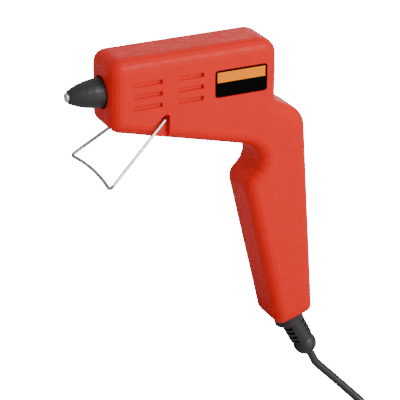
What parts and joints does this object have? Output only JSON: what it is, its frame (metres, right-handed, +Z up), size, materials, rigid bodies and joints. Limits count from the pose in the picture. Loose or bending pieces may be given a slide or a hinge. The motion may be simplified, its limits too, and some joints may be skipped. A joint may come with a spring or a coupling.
{
  "type": "glue gun",
  "caption": "Thumb-fed hot glue gun with a moulded casing, rubber nozzle boot, folding wire stand, bend sleeve and coiled mains cord with a flat plug.",
  "frame": {"origin": "middle of the gun's footprint on the table, without the free cord", "axes": "+X from the nozzle towards the bend sleeve along the table, +Y across the gun, +Z up"},
  "size_m": [0.446, 0.0916, 0.1319],
  "materials": {
    "red_plastic": "satin moulded",
    "black_rubber": "matt",
    "black_cord": "smooth sheath",
    "black_plastic": "moulded",
    "label_foil": "printed film, plain black with an orange band",
    "aluminium": "cast and turned",
    "brass": "bright",
    "steel": "plated",
    "zinc_wire": "plated wire",
    "ceramic": "fired ceramic",
    "mica": "sheet",
    "phenolic": "moulded",
    "silicone": "soft tube",
    "blue_wire": "insulation",
    "brown_wire": "insulation"
  },
  "bodies": {
    "gun": {"casing_left": "red_plastic", "casing_right": "red_plastic", "nozzle": "aluminium", "valve_seat": "brass", "nozzle_spring": "steel", "nozzle_boot": "black_rubber", "melt_chamber": "aluminium", "front_collar": "phenolic", "rear_ring": "phenolic", "electrode_upper": "brass", "ptc_element": "ceramic", "electrode_lower": "brass", "heater_insulation": "mica", "heater_clip": "steel", "feed_sleeve": "silicone", "sleeve_clamp": "steel", "inlet_guide": "black_plastic", "casing_screw_1": "steel", "casing_screw_2": "steel", "casing_screw_3": "steel", "casing_screw_4": "steel", "casing_screw_5": "steel", "casing_screw_6": "steel", "cord_clamp": "black_plastic", "clamp_screw_1": "steel", "clamp_screw_2": "steel", "cord_inside": "black_cord", "lead_live": "brown_wire", "lead_neutral": "blue_wire", "terminal_live": "black_plastic", "terminal_neutral": "black_plastic", "bend_sleeve": "black_rubber", "label": "label_foil", "cord_run": "black_cord", "cord_coil": "black_cord", "coil_tie": "black_plastic", "cord_tail": "black_cord", "plug_body": "black_plastic", "plug_pin_1": "brass", "plug_pin_2": "brass"},
    "stand": {"wire_stand": "zinc_wire"},
    "valve": {"nozzle_ball": "steel"}
  },
  "joints": [
    {"name": "stand_hinge", "type": "hinge", "parent": "gun", "child": "stand", "pos_m": [-0.07971, 0, 0.05371], "axis": [0, -1, 0], "range_deg": [0, 52]},
    {"name": "valve_slide", "type": "slide", "parent": "gun", "child": "valve", "axis": [-0.6863, 0, -0.7273], "range_m": [0, 0.0015], "stiffness_N_per_m": 200, "springref_m": -0.001, "deforming": ["nozzle_spring"]}
  ]
}
